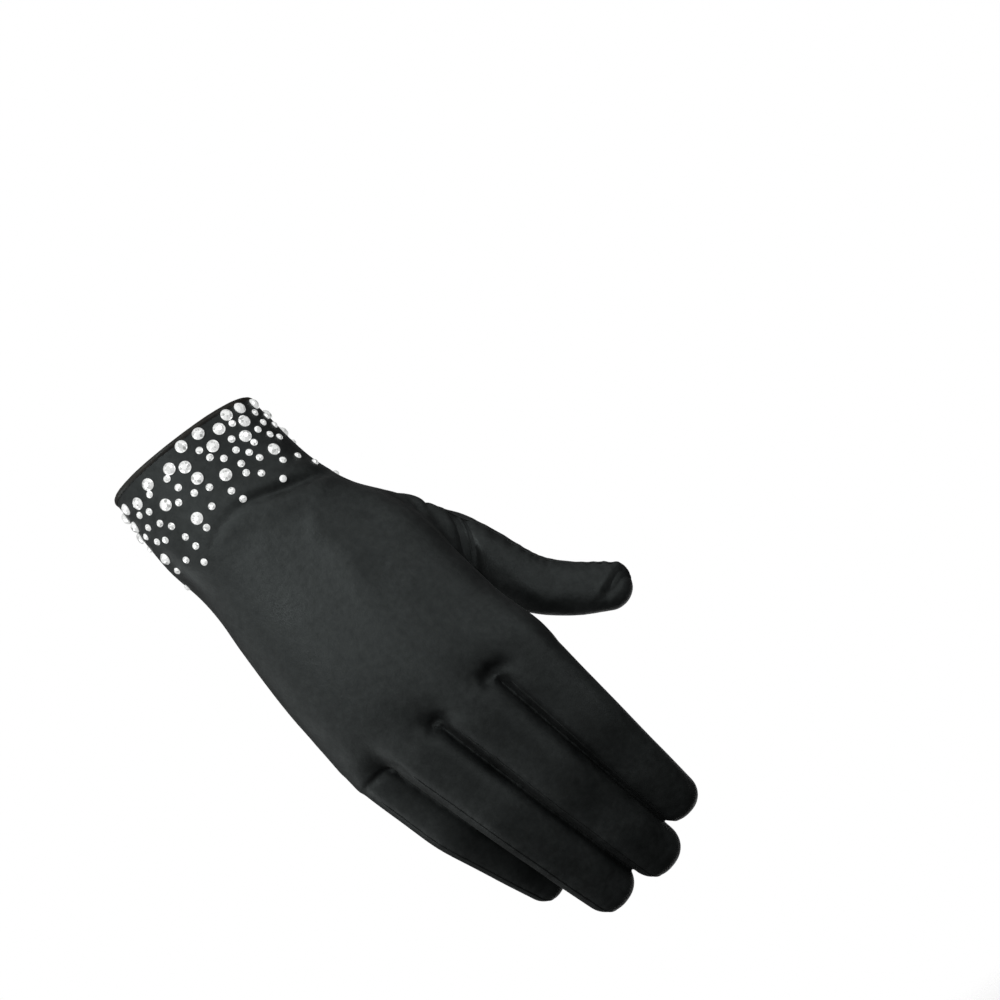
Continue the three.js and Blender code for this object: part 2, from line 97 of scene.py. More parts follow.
# Fingers: length and width in mm, the rest as in the part
FINGER_COLUMNS = ("name", "length", "width", "depth", "taper", "across", "down", "lift",
                  "lean", "hook", "near", "mid", "far")
FINGERS = [dict(zip(FINGER_COLUMNS, row)) for row in (
    ("index", 74, 21.8, 0.93, 0.645, 0.585, 0.98, -0.15, 8.7, 0, 8, 24, 36),
    ("middle", 85, 22.1, 0.93, 0.725, 0.302, 1, -0.17, 13.2, 0, 9, 26, 40),
    ("ring", 83, 19.3, 0.98, 0.856, 0.028, 1.02, -0.11, 15.9, 0, 8, 24, 38),
    ("little", 68, 15.4, 1, 0.86, -0.162, 1.02, 0.155, 15, 8, 6, 25, 37),
)]
# Sections along a finger: share of its form, width and depth as shares of its own
FINGER_SECTIONS = [
    (0, 0.56, 0.5), (0.12, 0.86, 0.86), (0.2, 0.995, 1), (0.4, 1, 1),
    (0.55, 1, 1.04), (0.68, 0.99, 1.02), (0.78, 1, 1.04), (0.9, 1, 1),
]
NEAR_JOINT = 0.52  # shares of a finger's form at which it bends
FAR_JOINT = 0.76
JOINT_REACH = 0.14
ROOT_FAN = 0.45  # share of a finger's lean that its root has inside the palm
AXIS_POINTS = 220
AXIS_END = 1.06  # where a finger's axis ends, past its tip

# The thumb's root in shares of the palm, then the stations of its axis: across, down and lift in
# shares of its length, width and depth in shares of its width
THUMB_ROOT = (0.27, 0.08, 0.12)
THUMB_STATIONS = [
    (0, 0, 0, 1.25, 1.2), (0.125, 0.115, 0.075, 1.44, 1.34), (0.197, 0.197, 0.115, 1.3, 1.24),
    (0.254, 0.243, 0.135, 1.17, 1.14), (0.31, 0.325, 0.155, 1.03, 1.02), (0.395, 0.508, 0.195, 0.98, 0.95),
    (0.49, 0.602, 0.22, 0.92, 0.88), (0.587, 0.665, 0.235, 0.84, 0.8),
]
THUMB_TIP = 0.42  # length of its round tip as a share of its width
THUMB_STEPS = 24  # points of its axis for each station
THUMB_PAST = 12  # points past its last station, 1 mm apart

FINGER_FULLNESS = 0.3  # how far a finger swells past the part's, mm, so that fingers touch
CROTCH_BLEND = 3.2  # rounding between the fingers and the palm, mm
FINGER_BLEND = 1.2  # rounding between two fingers
WEB_BLEND = 5.0  # rounding between the thumb and the hand
RIM_CUT = -1.1  # height at which the satin ends inside the hem, mm
LINING_RISE = 0.5  # how much higher its inner face reaches


def table(rows, columns):
    """The columns of a list of rows, by name."""
    return {name: np.array([row[index] for row in rows], float) for index, name in enumerate(columns)}


def between(keys, values, at):
    """Values of a table at the given places, on a smooth curve through its rows."""
    last = len(keys) - 1
    row = np.clip(np.searchsorted(keys, at, side="left") - 1, 0, last - 1)
    before = np.maximum(np.arange(last + 1) - 1, 0)
    after = np.minimum(np.arange(last + 1) + 1, last)
    slope = (values[after] - values[before]) / (keys[after] - keys[before])
    span = keys[row + 1] - keys[row]
    share = np.clip((at - keys[row]) / span, 0, 1)
    square = share * share
    cube = square * share
    return ((2 * cube - 3 * square + 1) * values[row] + (cube - 2 * square + share) * span * slope[row]
            + (3 * square - 2 * cube) * values[row + 1] + (cube - square) * span * slope[row + 1])


def unit(rows):
    """The rows, each made 1 long."""
    return rows / np.maximum(np.linalg.norm(rows, axis=1), TINY)[:, None]


def smooth(value):
    """A soft step from 0 to 1."""
    share = np.clip(value, 0, 1)
    return share * share * (3 - 2 * share)


def body_table():
    """The sections of the cuff and palm in mm, by their depth below the rim."""
    cuff = table(CUFF_SECTIONS, SECTION_COLUMNS)
    palm = table(PALM_SECTIONS, SECTION_COLUMNS)
    wide, deep = (CUFF_WIDTH, PALM_WIDTH), (CUFF_DEPTH, PALM_DEPTH)
    sizes = {"little": wide, "thumb": wide, "back": deep, "front": deep, "edge": deep}
    rows = {"depth": np.concatenate([cuff["down"] * CUFF_LENGTH, CUFF_LENGTH + palm["down"] * PALM_LENGTH])}
    for name, (of_cuff, of_palm) in sizes.items():
        rows[name] = np.concatenate([cuff[name] * of_cuff, palm[name] * of_palm])
    rows["tilt"] = np.concatenate([cuff["tilt"], palm["tilt"]])
    return rows


BODY = body_table()
BODY_END = BODY["depth"][-1]


def body_section(depth):
    """Middle, half width, edge, reach to the back and to the front, and tilt of the sections there."""
    at = {name: between(BODY["depth"], BODY[name], depth) for name in BODY if name != "depth"}
    middle = (at["little"] + at["thumb"]) / 2
    reach = (at["thumb"] - at["little"]) / 2
    back, front = at["edge"] - at["back"], at["front"] - at["edge"]
    return middle, reach, at["edge"], back, front, np.radians(at["tilt"])


def round_norm(u, v, power):
    """How far out a point is in a section, 1 on its edge, and how fast that grows with u and v."""
    a, b = np.abs(u), np.abs(v)
    norm = np.maximum((a ** power + b ** power) ** (1 / power), TINY)
    return norm, (a / norm) ** (power - 1), (b / norm) ** (power - 1)


def body_distance(points):
    """Distance from the cuff and palm, negative inside them."""
    depth = -points[:, 2]
    middle, reach, edge, back, front, tilt = body_section(depth)
    x, y = points[:, 0] - middle, points[:, 1] - edge
    c, s = np.cos(tilt), np.sin(tilt)
    x, y = c * x - s * y, s * x + c * y
    side = np.where(y < 0, back, front)
    norm, gx, gy = round_norm(x / reach, y / side, BODY_SQUARENESS)
    distance = (norm - 1) / np.hypot(gx / reach, gy / side)
    return np.maximum(distance, depth - BODY_END)


PLACE_ROUNDS = 4  # rounds that find a point's place along a finger's axis
TIP_END = 0.999  # share of the round tip that is drawn on


class Tube:
    """A finger: an axis with its frames, half sizes and a round tip."""

    def __init__(self, centre, way, side, width, depth, arc, tip_start, tip_length):
        self.centre, self.way, self.side = centre, way, side
        self.back = np.cross(way, side)
        self.width, self.depth, self.arc = width, depth, arc
        self.tip_start, self.tip_length = tip_start, tip_length

    def at(self, rows, arc):
        """Rows of the axis at the given lengths along it."""
        return np.stack([np.interp(arc, self.arc, rows[:, i]) for i in range(3)], 1)

    def place(self, points):
        """Length along the axis and the two offsets from it, for each point."""
        order = np.argsort(self.centre[:, 2])
        arc = np.interp(points[:, 2], self.centre[order, 2], self.arc[order])
        for _ in range(PLACE_ROUNDS):
            off = points - self.at(self.centre, arc)
            arc = np.clip(arc + np.sum(off * self.at(self.way, arc), 1), self.arc[0], self.arc[-1])
        off = points - self.at(self.centre, arc)
        across, rise = np.sum(off * self.at(self.side, arc), 1), np.sum(off * self.at(self.back, arc), 1)
        return arc + np.sum(off * self.at(self.way, arc), 1), across, rise

    def distance(self, points):
        """Distance from the finger, negative inside it."""
        arc, across, rise = self.place(points)
        width = np.interp(arc, self.arc, self.width)
        depth = np.interp(arc, self.arc, self.depth)
        norm, gx, gy = round_norm(across / width, rise / depth, FINGER_SQUARENESS)
        past = np.maximum(arc - self.tip_start, 0) / self.tip_length
        whole = np.maximum(np.hypot(norm, past), TINY)
        slope = np.hypot(norm * np.hypot(gx / width, gy / depth), past / self.tip_length) / whole
        return np.maximum((whole - 1) / slope, self.arc[0] - arc)

    def spot(self, arc, angle):
        """A point on the satin, `angle` degrees round from the thumb's side towards the back."""
        turn = np.radians(angle)
        grow = 2 / FINGER_SQUARENESS
        past = np.clip((arc - self.tip_start) / self.tip_length, 0, TIP_END)
        close = np.sqrt(1 - past ** 2)
        width = np.interp(arc, self.arc, self.width) * close
        depth = np.interp(arc, self.arc, self.depth) * close
        across = np.sign(np.cos(turn)) * np.abs(np.cos(turn)) ** grow * width
        rise = np.sign(np.sin(turn)) * np.abs(np.sin(turn)) ** grow * depth
        aside = self.at(self.centre, arc) + self.at(self.side, arc) * across[:, None]
        return aside + self.at(self.back, arc) * rise[:, None]


def finger_tube(finger):
    total = finger["length"] + FINGER_ROOT
    crotch = FINGER_ROOT / total
    tip_length = finger["width"] * finger["taper"] / 2
    tip_start = total - tip_length
    share = np.linspace(0, AXIS_END, AXIS_POINTS)

    def heading(at):
        """The way of the axis and of its thumb side."""
        near_bend = smooth((at - NEAR_JOINT) / JOINT_REACH + 0.5)
        far_bend = smooth((at - FAR_JOINT) / JOINT_REACH + 0.5)
        bend = np.radians(finger["near"] + (finger["mid"] - finger["near"]) * near_bend
                          + (finger["far"] - finger["mid"]) * far_bend)
        opened = smooth(at * total / FINGER_ROOT)
        fan = ROOT_FAN + (1 - ROOT_FAN) * opened
        lean = np.radians(finger["lean"] * fan + finger["hook"] * near_bend)
        way = np.stack([np.sin(lean) * np.cos(bend), np.sin(bend), -np.cos(lean) * np.cos(bend)], 1)
        side = np.stack([np.cos(lean), np.zeros_like(lean), np.sin(lean)], 1)
        return way, side

    way, side = heading(share)
    step = (share[1] - share[0]) * total
    middles, _ = heading((share[1:] + share[:-1]) / 2)
    walked = np.vstack([np.zeros(3), np.cumsum(middles * step, 0)])
    origin = np.stack([np.interp(crotch, share, walked[:, i]) for i in range(3)])
    start = np.array([finger["across"] * PALM_WIDTH, finger["lift"] * PALM_DEPTH,
                      -CUFF_LENGTH - finger["down"] * PALM_LENGTH])
    centre = walked - origin + start
    last = FINGER_SECTIONS[-1][0]
    sections = table(FINGER_SECTIONS, ("along", "width", "depth"))
    along = np.minimum(share * total, tip_start) / tip_start * last
    half = (1 + (finger["taper"] - 1) * along) * finger["width"] / 2
    width = between(sections["along"], sections["width"], along) * half + FINGER_FULLNESS
    depth = between(sections["along"], sections["depth"], along) * half * finger["depth"] + FINGER_FULLNESS
    return Tube(centre, way, side, width, depth, share * total, tip_start, tip_length + FINGER_FULLNESS)


def thumb_tube():
    """The thumb, on a curve through its stations and a little past them."""
    rows = np.array(THUMB_STATIONS)
    root = np.array([THUMB_ROOT[0] * PALM_WIDTH, THUMB_ROOT[2] * PALM_DEPTH,
                     -CUFF_LENGTH - THUMB_ROOT[1] * PALM_LENGTH])
    stations = root + np.stack([rows[:, 0], rows[:, 2], -rows[:, 1]], 1) * THUMB_LENGTH
    ends = np.vstack([2 * stations[0] - stations[1], stations, 2 * stations[-1] - stations[-2]])
    centre, key = [], []
    for index in range(len(stations) - 1):
        p0, p1, p2, p3 = ends[index:index + 4]
        d0, d1, d2 = (np.linalg.norm(b - a) ** 0.5 for a, b in ((p0, p1), (p1, p2), (p2, p3)))
        t1 = ((p1 - p0) / d0 - (p2 - p0) / (d0 + d1) + (p2 - p1) / d1) * d1
        t2 = ((p2 - p1) / d1 - (p3 - p1) / (d1 + d2) + (p3 - p2) / d2) * d1
        square = -3 * p1 + 3 * p2 - 2 * t1 - t2
        cube = 2 * p1 - 2 * p2 + t1 + t2
        for t in np.linspace(0, 1, THUMB_STEPS, endpoint=False):
            centre.append(p1 + t1 * t + square * t ** 2 + cube * t ** 3)
            key.append(index + t)
    centre.append(stations[-1])
    key.append(len(stations) - 1)
    centre, key = np.array(centre), np.array(key)
    tip_length = THUMB_WIDTH * THUMB_TIP
    out = centre[-1] - centre[-2]
    out /= np.linalg.norm(out)
    reach = np.arange(1, THUMB_PAST + 1)[:, None]
    centre = np.vstack([centre, centre[-1] + out * reach])
    key = np.concatenate([key, np.full(THUMB_PAST, key[-1])])
    steps = np.linalg.norm(np.diff(centre, axis=0), axis=1)
    arc = np.concatenate([[0], np.cumsum(steps)])
    way = unit(np.gradient(centre, arc, axis=0))
    side = unit(np.stack([-way[:, 2], np.zeros(len(way)), way[:, 0]], 1))
    order = np.arange(len(rows), dtype=float)
    width = between(order, rows[:, 3], key) * THUMB_WIDTH / 2
    depth = between(order, rows[:, 4], key) * THUMB_WIDTH / 2
    return Tube(centre, way, side, width, depth, arc, arc[-1 - THUMB_PAST], tip_length)


TUBES = {finger["name"]: finger_tube(finger) for finger in FINGERS}
THUMB = thumb_tube()
FAR = 60.0  # distance given to points that are nowhere near a finger, mm
NEAR = 9.0  # how far round a finger its distance is worked out, mm


def near_tube(tube, points):
    """The distance to a finger, worked out only for the points round it."""
    reach = max(tube.width.max(), tube.depth.max()) + NEAR
    low, high = tube.centre.min(0) - reach, tube.centre.max(0) + reach
    close = np.all((points > low) & (points < high), 1)
    distance = np.full(len(points), FAR)
    if close.any():
        distance[close] = tube.distance(points[close])
    return distance


def blend(a, b, width):
    """The lower of two distances, rounded where they meet."""
    meet = np.maximum(width - np.abs(a - b), 0) / width
    return np.minimum(a, b) - meet * meet * width / 4


def glove_distance(points):
    """Distance from the whole glove's outside, negative inside it."""
    fingers = np.full(len(points), FAR)
    for tube in TUBES.values():
        fingers = blend(fingers, near_tube(tube, points), FINGER_BLEND)
    hand = blend(body_distance(points), fingers, CROTCH_BLEND)
    return blend(hand, near_tube(THUMB, points), WEB_BLEND)


GRID_PARTS = 12  # the grid is worked through in parts, to save memory


def surface_net(distance, low, high, step):
    """The surface where a distance is nought: points, and faces that look outwards."""
    axes = [np.arange(b, a - step / 2, -step)[::-1] for a, b in zip(low, high)]
    shape = [len(axis) for axis in axes]
    grid = np.stack(np.meshgrid(*axes, indexing="ij"), -1).reshape(-1, 3)
    values = np.concatenate([distance(part) for part in np.array_split(grid, GRID_PARTS)]).reshape(shape)
    cells = [n - 1 for n in shape]
    place = np.zeros((np.prod(cells), 3))
    count = np.zeros(np.prod(cells))
    strides = np.array([cells[1] * cells[2], cells[2], 1])
    faces = []
    for axis in range(3):
        one, two = (axis + 1) % 3, (axis + 2) % 3
        lower = np.take(values, np.arange(shape[axis] - 1), axis)
        upper = np.take(values, np.arange(1, shape[axis]), axis)
        edge = np.argwhere((lower < 0) != (upper < 0))
        before, after = lower[tuple(edge.T)], upper[tuple(edge.T)]
        share = before / (before - after)
        spot = np.stack([axes[i][edge[:, i]] for i in range(3)], 1)
        spot[:, axis] += share * step
        corners = []
        for a, b in ((1, 1), (0, 1), (0, 0), (1, 0)):
            cell = edge.copy()
            cell[:, one] -= a
            cell[:, two] -= b
            inside = np.all((cell >= 0) & (cell < cells), 1)
            index = np.where(inside, cell @ strides, -1)
            np.add.at(place, index[inside], spot[inside])
            np.add.at(count, index[inside], 1)
            corners.append(index)
        quads = np.stack(corners, 1)
        quads = np.where((before < 0)[:, None], quads, quads[:, ::-1])
        faces.append(quads[np.all(quads >= 0, 1)])
    faces = np.concatenate(faces)
    used = np.unique(faces)
    renumber = np.full(len(count), -1)
    renumber[used] = np.arange(len(used))
    return place[used] / count[used, None], renumber[faces]


GRADIENT_STEP = 0.05  # mm


def gradient(distance, points):
    """The way in which a distance grows at each point, and how steeply."""
    steps = GRADIENT_STEP * np.eye(3)
    slopes = [distance(points + step) - distance(points - step) for step in steps]
    slopes = np.stack(slopes, 1) / (2 * GRADIENT_STEP)
    return unit(slopes), np.linalg.norm(slopes, axis=1)


def pull_to_neighbours(points, faces):
    """From each point to the middle of the points beside it."""
    edges = np.vstack([faces[:, [0, 1]], faces[:, [1, 2]], faces[:, [2, 3]], faces[:, [3, 0]]])
    one, two = edges.T
    count = len(points)
    degree = np.bincount(one, minlength=count) + np.bincount(two, minlength=count)
    total = np.stack([np.bincount(one, column[two], count) + np.bincount(two, column[one], count)
                      for column in points.T], 1)
    return total / degree[:, None] - points


SETTLE_SHARE = 0.6  # share of that pull that a point follows in one round
SETTLE_REACH = 0.6  # furthest that it then goes back to the surface, mm
LEAST_SLOPE = 0.3


def settle(distance, points, faces, rounds, fixed):
    """Spreads the points evenly over the surface, and gives the surface's normals there."""
    normal, _ = gradient(distance, points)
    for _ in range(rounds):
        shift = pull_to_neighbours(points, faces)
        shift -= normal * np.sum(shift * normal, 1)[:, None]
        moved = points + np.where(fixed[:, None], 0, shift * SETTLE_SHARE)
        normal, slope = gradient(distance, moved)
        off = np.clip(distance(moved), -SETTLE_REACH, SETTLE_REACH) / np.maximum(slope, LEAST_SLOPE)
        moved -= normal * off[:, None]
        points = np.where(fixed[:, None], points, moved)
    return points, normal


# Folds and hollows in the satin over the hand: name, rise and half width in mm, and the points of the
# fold's line, x and z in mm with the fold's strength there
BACK_FOLDS = [
    ("groove of the wrist fold", -1.8, 1.6, [
        (31, -34.6, 0.45), (26, -33.8, 0.8), (20, -32.7, 0.95), (14, -31, 0.7), (8, -29.3, 0.45),
        (2, -28.9, 0.25), (-4, -29.8, 0.15), (-9, -32.6, 0.1)]),
    ("lip of the wrist fold", 0.7, 2.4, [
        (29, -29.9, 0.6), (24, -28.6, 1), (18, -28.2, 0.9), (12, -27, 0.5), (5, -26, 0.2)]),
    ("roll below the fold", 0.35, 2.8, [
        (27, -38, 1), (20, -37, 1), (12, -36, 0.7), (4, -35, 0.3)]),
    ("ridge to the back", 0.4, 2.4, [
        (29, -36, 0.5), (26, -39.5, 1), (22, -43.5, 1), (17.5, -49, 0.4)]),
    ("ridge along the back", 0.45, 5, [
        (22, -42, 0.3), (21, -50, 1), (20, -61, 1), (19, -72, 0.8), (17.5, -82, 0.3)]),
    ("hollow by the ridge", -1, 4.5, [
        (31, -45, 0.5), (34, -52, 1), (36, -58, 0.7)]),
    ("hollow under the fold", -0.25, 4.5, [
        (9, -36, 0.6), (2, -37, 1), (-6, -40, 0.5)]),
    ("hollow of the cuff", -0.7, 3.6, [
        (-12, -20, 0.4), (-15.5, -25, 1), (-18, -30, 0.7)]),
    ("edge over the thumb", 0.2, 2.4, [
        (38, -52, 0.5), (41, -58, 1), (44, -66, 0.6)]),
    ("crease at the root of the thumb", -2.2, 1.4, [
        (41.5, -47.5, 0.4), (43.6, -50.5, 1), (45.5, -55, 1), (46.5, -60, 0.6)]),
    ("crotch of the index", -1.3, 2, [
        (30.6, -118.1, 0.5), (31.6, -116.1, 1), (34.6, -114.7, 1), (38, -115.5, 0.75), (40.3, -117.5, 0.35),
        (40.8, -120.5, 0.1)]),
    ("crotch of the middle", -1.3, 2, [
        (7.8, -119.1, 0.5), (10.1, -117.3, 1), (13.2, -116.5, 1), (16.2, -117.3, 0.75), (19.2, -119.3, 0.4),
        (21.4, -122.3, 0.1)]),
    ("crotch of the ring", -1, 1.1, [
        (-18, -118, 0.5), (-14.1, -117.7, 1), (-9.8, -117.6, 1), (-7.6, -118.2, 1), (-6, -120.6, 0.8),
        (-5.2, -124, 0.3)]),
    ("valley between the crotches", -0.5, 3, [
        (5.6, -115.8, 0.5), (2.4, -116.7, 1), (-0.5, -117.4, 1), (-4.2, -118.3, 0.6)]),
    ("hollow behind the knuckles", -0.45, 4.5, [
        (-7.8, -109.7, 0.5), (-2.3, -109.6, 1), (3.3, -109.9, 1), (8.7, -112.5, 0.6)]),
]
PALM_FOLDS = [
    ("heel of the palm", -1.1, 2.6, [
        (-20, -38, 0.4), (-8, -40, 1), (6, -41, 1), (20, -38, 0.5)]),
    ("roll at the heel", 0.7, 2.8, [
        (-18, -34, 0.5), (-6, -35.5, 1), (8, -36, 1), (20, -33, 0.5)]),
    ("life line", -1, 2.4, [
        (12, -52, 0.5), (15, -66, 1), (24, -80, 1), (38, -90, 0.7)]),
    ("line across the palm", -0.8, 2.4, [
        (-18, -92, 0.5), (0, -95, 1), (20, -98, 1), (38, -103, 0.5)]),
]
FACING = 1.6  # how sharply a fold stops at the side of the hand

# Folds round a finger or the thumb: place along it in mm, angle in degrees from the thumb's side over
# the back, half of the angle that it spans, how far it slants in mm per radian, rise and half width
THUMB_FOLDS = [
    (42.6, 63, 58, 6, -3, 2.6),
    (43, 63, 52, 6, 2.1, 1),
    (24.5, 30, 26, 10, -1.1, 1.1),
    (24.5, 4, 24, 8, 0.9, 2.8),
    (33.5, 20, 26, 4, 0.7, 2.6),
    (95.3, 75, 48, -5, -1.4, 2),
    (91.3, 72, 52, -5, 0.6, 1.3),
    (96.5, 24, 18, 0, 0.8, 1.8),
    (74, 80, 55, 4, -0.3, 2.4),
    (66, 250, 60, 0, -0.9, 1.6),
    (70, 255, 55, 2, -0.6, 1.4),
]
INDEX_FOLDS = [(85, 66, 20, 2, 0.6, 2.6)]
JOINT_FOLDS = [  # share of the joint, shift in mm, rise and half width, on the palm's side of every finger
    (NEAR_JOINT, -2.6, -0.55, 1.2), (NEAR_JOINT, 0.4, -0.8, 1.3), (NEAR_JOINT, 3.4, -0.5, 1.1),
    (FAR_JOINT, -1.2, -0.5, 1.0), (FAR_JOINT, 1.6, -0.5, 1.0),
]
PALM_ANGLE = 270
JOINT_SPAN = 62
FOLD_REACH = 0.9  # folds of a finger lift only points this near its own form, mm

SEAM_LIFT = 41  # how far a finger's seam on the little finger's side lies round to the back, degrees
SEAM_DROP = 42  # how far its seam on the thumb's side lies round to the palm
SEAM_PUCKER = 0.05  # height of the puckers along the seams, mm
THUMB_SEAMS = [(28, 0.34), (205, SEAM_PUCKER)]
PUCKER_SPACING = 4.3
PUCKER_REACH = 2.6
PUCKER_START = 12  # length over which they set in past a finger's root
PUCKER_DRIFT = 2.1  # how unevenly they are spaced, radians
PUCKER_DRIFT_RUN = 4.1
PUCKER_SWELL = 0.35  # share by which their height comes and goes
PUCKER_SWELL_RUN = 6.7


def line_pull(points, line):
    """Distance in x and z from each point to a line, and the line's strength there."""
    flat = points[:, [0, 2]]
    best = np.full(len(points), 1e9)
    strength = np.zeros(len(points))
    for a, b in zip(line[:-1], line[1:]):
        start, way = np.array(a[:2], float), np.array(b[:2], float) - a[:2]
        share = np.clip(((flat - start) @ way) / (way @ way), 0, 1)
        distance = np.linalg.norm(flat - start - share[:, None] * way, axis=1)
        nearer = distance < best
        best = np.where(nearer, distance, best)
        strength = np.where(nearer, a[2] + (b[2] - a[2]) * share, strength)
    return best, strength


def wrap(angle):
    return (angle + 180) % 360 - 180


def tube_seams(name):
    """Angle and pucker height of each seam of a finger."""
    if name == "thumb":
        return THUMB_SEAMS
    return [(-SEAM_DROP, SEAM_PUCKER), (180 - SEAM_LIFT, SEAM_PUCKER)]


def pucker(arc, seam):
    """The waves of the satin along a seam, between -1 and 1."""
    wave = np.sin(2 * math.pi * arc / PUCKER_SPACING + PUCKER_DRIFT * np.sin(arc / PUCKER_DRIFT_RUN + seam))
    return wave * (1 - PUCKER_SWELL + PUCKER_SWELL * np.sin(arc / PUCKER_SWELL_RUN + 2 * seam))


def fold_rise(points, normal):
    """How far the folds lift the satin at each point, mm."""
    rise = np.zeros(len(points))
    folds = [(-1, fold) for fold in BACK_FOLDS] + [(1, fold) for fold in PALM_FOLDS]
    for side, (_, high, width, line) in folds:
        distance, strength = line_pull(points, line)
        facing = smooth(normal[:, 1] * side * FACING)
        rise += high * strength * facing * np.exp(-(distance / width) ** 2)
    for name, tube in {**TUBES, "thumb": THUMB}.items():
        on_it = np.flatnonzero(np.abs(near_tube(tube, points)) < FOLD_REACH)
        arc, across, up_way = tube.place(points[on_it])
        round_it = np.degrees(np.arctan2(up_way, across))
        folds = {"thumb": THUMB_FOLDS, "index": INDEX_FOLDS}.get(name, [])
        if name != "thumb":
            total = tube.tip_start + tube.tip_length
            folds = folds + [(share * total + shift, PALM_ANGLE, JOINT_SPAN, 0, high, width)
                             for share, shift, high, width in JOINT_FOLDS]
        for along, angle, span, slant, high, width in folds:
            turned = wrap(round_it - angle)
            window = np.exp(-(turned / span) ** 4)
            off = arc - along - slant * np.radians(turned)
            rise[on_it] += high * window * np.exp(-(off / width) ** 2)
        for seam, height in tube_seams(name):
            beside = np.radians(wrap(round_it - seam)) * np.interp(arc, tube.arc, tube.width)
            past_root = smooth((arc - FINGER_ROOT) / PUCKER_START)
            rise[on_it] += height * pucker(arc, seam) * past_root * np.exp(-(beside / PUCKER_REACH) ** 2)
    return rise


def link(name, mesh):
    obj = bpy.data.objects.new(name, mesh)
    bpy.context.scene.collection.objects.link(obj)
    return obj


def mesh_object(name, points, faces, material, flat=False):
    """A mesh from points in mm."""
    mesh = bpy.data.meshes.new(name)
    mesh.from_pydata((np.asarray(points) * MM).tolist(), [], [list(map(int, face)) for face in faces])
    mesh.polygons.foreach_set("use_smooth", [not flat] * len(mesh.polygons))
    mesh.materials.append(material)
    mesh.update()
    return link(name, mesh)


# Materials

def set_inputs(node, values):
    for name, value in values.items():
        node.inputs[name].default_value = value
    return node


def new_material(name, values):
    """A material, its node tree and its shader, which has the given values."""
    material = bpy.data.materials.new(name)
    material.use_nodes = True
    tree = material.node_tree
    return material, tree, set_inputs(tree.nodes["Principled BSDF"], values)


def colour_ramp(tree, source, *stops):
    """Turns a value into a colour, between two stops of a place and a colour."""
    node = tree.nodes.new("ShaderNodeValToRGB")
    for element, (place, colour) in zip(node.color_ramp.elements, stops):
        element.position = place
        element.color = (*colour, 1)
    tree.links.new(source, node.inputs["Fac"])
    return node.outputs["Color"]


def new_range(tree, source, given, wanted, kind="LINEAR"):
    """Brings a value from one range into another."""
    node = tree.nodes.new("ShaderNodeMapRange")
    node.interpolation_type = kind
    set_inputs(node, dict(zip(("From Min", "From Max", "To Min", "To Max"), (*given, *wanted))))
    tree.links.new(source, node.inputs["Value"])
    return node.outputs["Result"]


def vector_math(tree, operation, *operands):
    """Reckons with places or colours, given as outputs of nodes or as tuples."""
    node = tree.nodes.new("ShaderNodeVectorMath")
    node.operation = operation
    for entry, operand in zip(node.inputs, operands):
        if isinstance(operand, tuple):
            entry.default_value = operand
        else:
            tree.links.new(operand, entry)
    return node


DARK_THREADS = 0.6  # how its threads, and the painted sheen in soft clouds, multiply the satin's colour
PALE_THREADS = 1.5
DARK_SHEEN_PATCH = 0.66
PALE_SHEEN_PATCH = 1.4
MATTER = 0.13  # how much rougher and less rough than its mean it gets
GLOSSIER = 0.09


def satin_material(name, roughness, tint):
    """Satin with a fine mottle, a diagonal weave, and painted sheen: soft clouds painted paler, where it is
    also rougher, and darker, where it is glossier.
    """
    material, tree, shader = new_material(name, {
        "Specular IOR Level": 0.45, "Specular Tint": (0.9, 1.0, 0.99, 1),
        "Sheen Weight": 0.05, "Sheen Roughness": 0.35})
    place = tree.nodes.new("ShaderNodeTexCoord")

    def texture(kind, values):
        node = set_inputs(tree.nodes.new(kind), values)
        tree.links.new(place.outputs["Object"], node.inputs["Vector"])
        return node

    def bump(source, values):
        node = set_inputs(tree.nodes.new("ShaderNodeBump"), values)
        tree.links.new(source.outputs["Fac"], node.inputs["Height"])
        return node

    mottle = texture("ShaderNodeTexNoise", {"Scale": 430, "Detail": 5, "Roughness": 0.65})
    cloud = texture("ShaderNodeTexNoise", {"Scale": 60, "Detail": 4, "Roughness": 0.6})
    weave = texture("ShaderNodeTexWave", {"Scale": 1500, "Distortion": 1.5})
    weave.bands_direction = "DIAGONAL"

    threads = colour_ramp(tree, mottle.outputs["Fac"],
                          (0.3, [v * DARK_THREADS for v in tint]), (0.7, [v * PALE_THREADS for v in tint]))
    # painted sheen: soft clouds that multiply the colour, paler in some places and darker in others
    painted_sheen = colour_ramp(tree, cloud.outputs["Fac"], (0.35, [DARK_SHEEN_PATCH] * 3), (0.65, [PALE_SHEEN_PATCH] * 3))
    threads_and_sheen = vector_math(tree, "MULTIPLY", threads, painted_sheen)
    tree.links.new(threads_and_sheen.outputs["Vector"], shader.inputs["Base Color"])
    rough = new_range(tree, cloud.outputs["Fac"], (0.3, 0.7), (roughness - GLOSSIER, roughness + MATTER))
    tree.links.new(rough, shader.inputs["Roughness"])

    mottle_bump = bump(mottle, {"Strength": 0.28, "Distance": 0.0005})
    weave_bump = bump(weave, {"Strength": 0.12, "Distance": 0.0001})
    tree.links.new(mottle_bump.outputs["Normal"], weave_bump.inputs["Normal"])
    tree.links.new(weave_bump.outputs["Normal"], shader.inputs["Normal"])
    return material


def crystal_material(name):
    """Foiled glass with a painted sparkle: each facet's painted brightness sets its colour and a glow of
    its own.
    """
    # the stones glow a little, though they are no lamp: painted light
    material, tree, shader = new_material(name, {
        "Emission Strength": 0.55, "Metallic": 0.55, "Roughness": 0.12,
        "Coat Weight": 1.0, "Coat Roughness": 0.02})
    facet = tree.nodes.new("ShaderNodeVertexColor")
    facet.layer_name = "facet"
    # painted sparkle: a facet's painted brightness gives both its colour and its glow
    painted_sparkle = colour_ramp(tree, facet.outputs["Color"], (0, (0.42, 0.43, 0.42)), (0.45, (0.95, 0.96, 0.95)))
    tree.links.new(painted_sparkle, shader.inputs["Base Color"])
    tree.links.new(painted_sparkle, shader.inputs["Emission Color"])
    return material


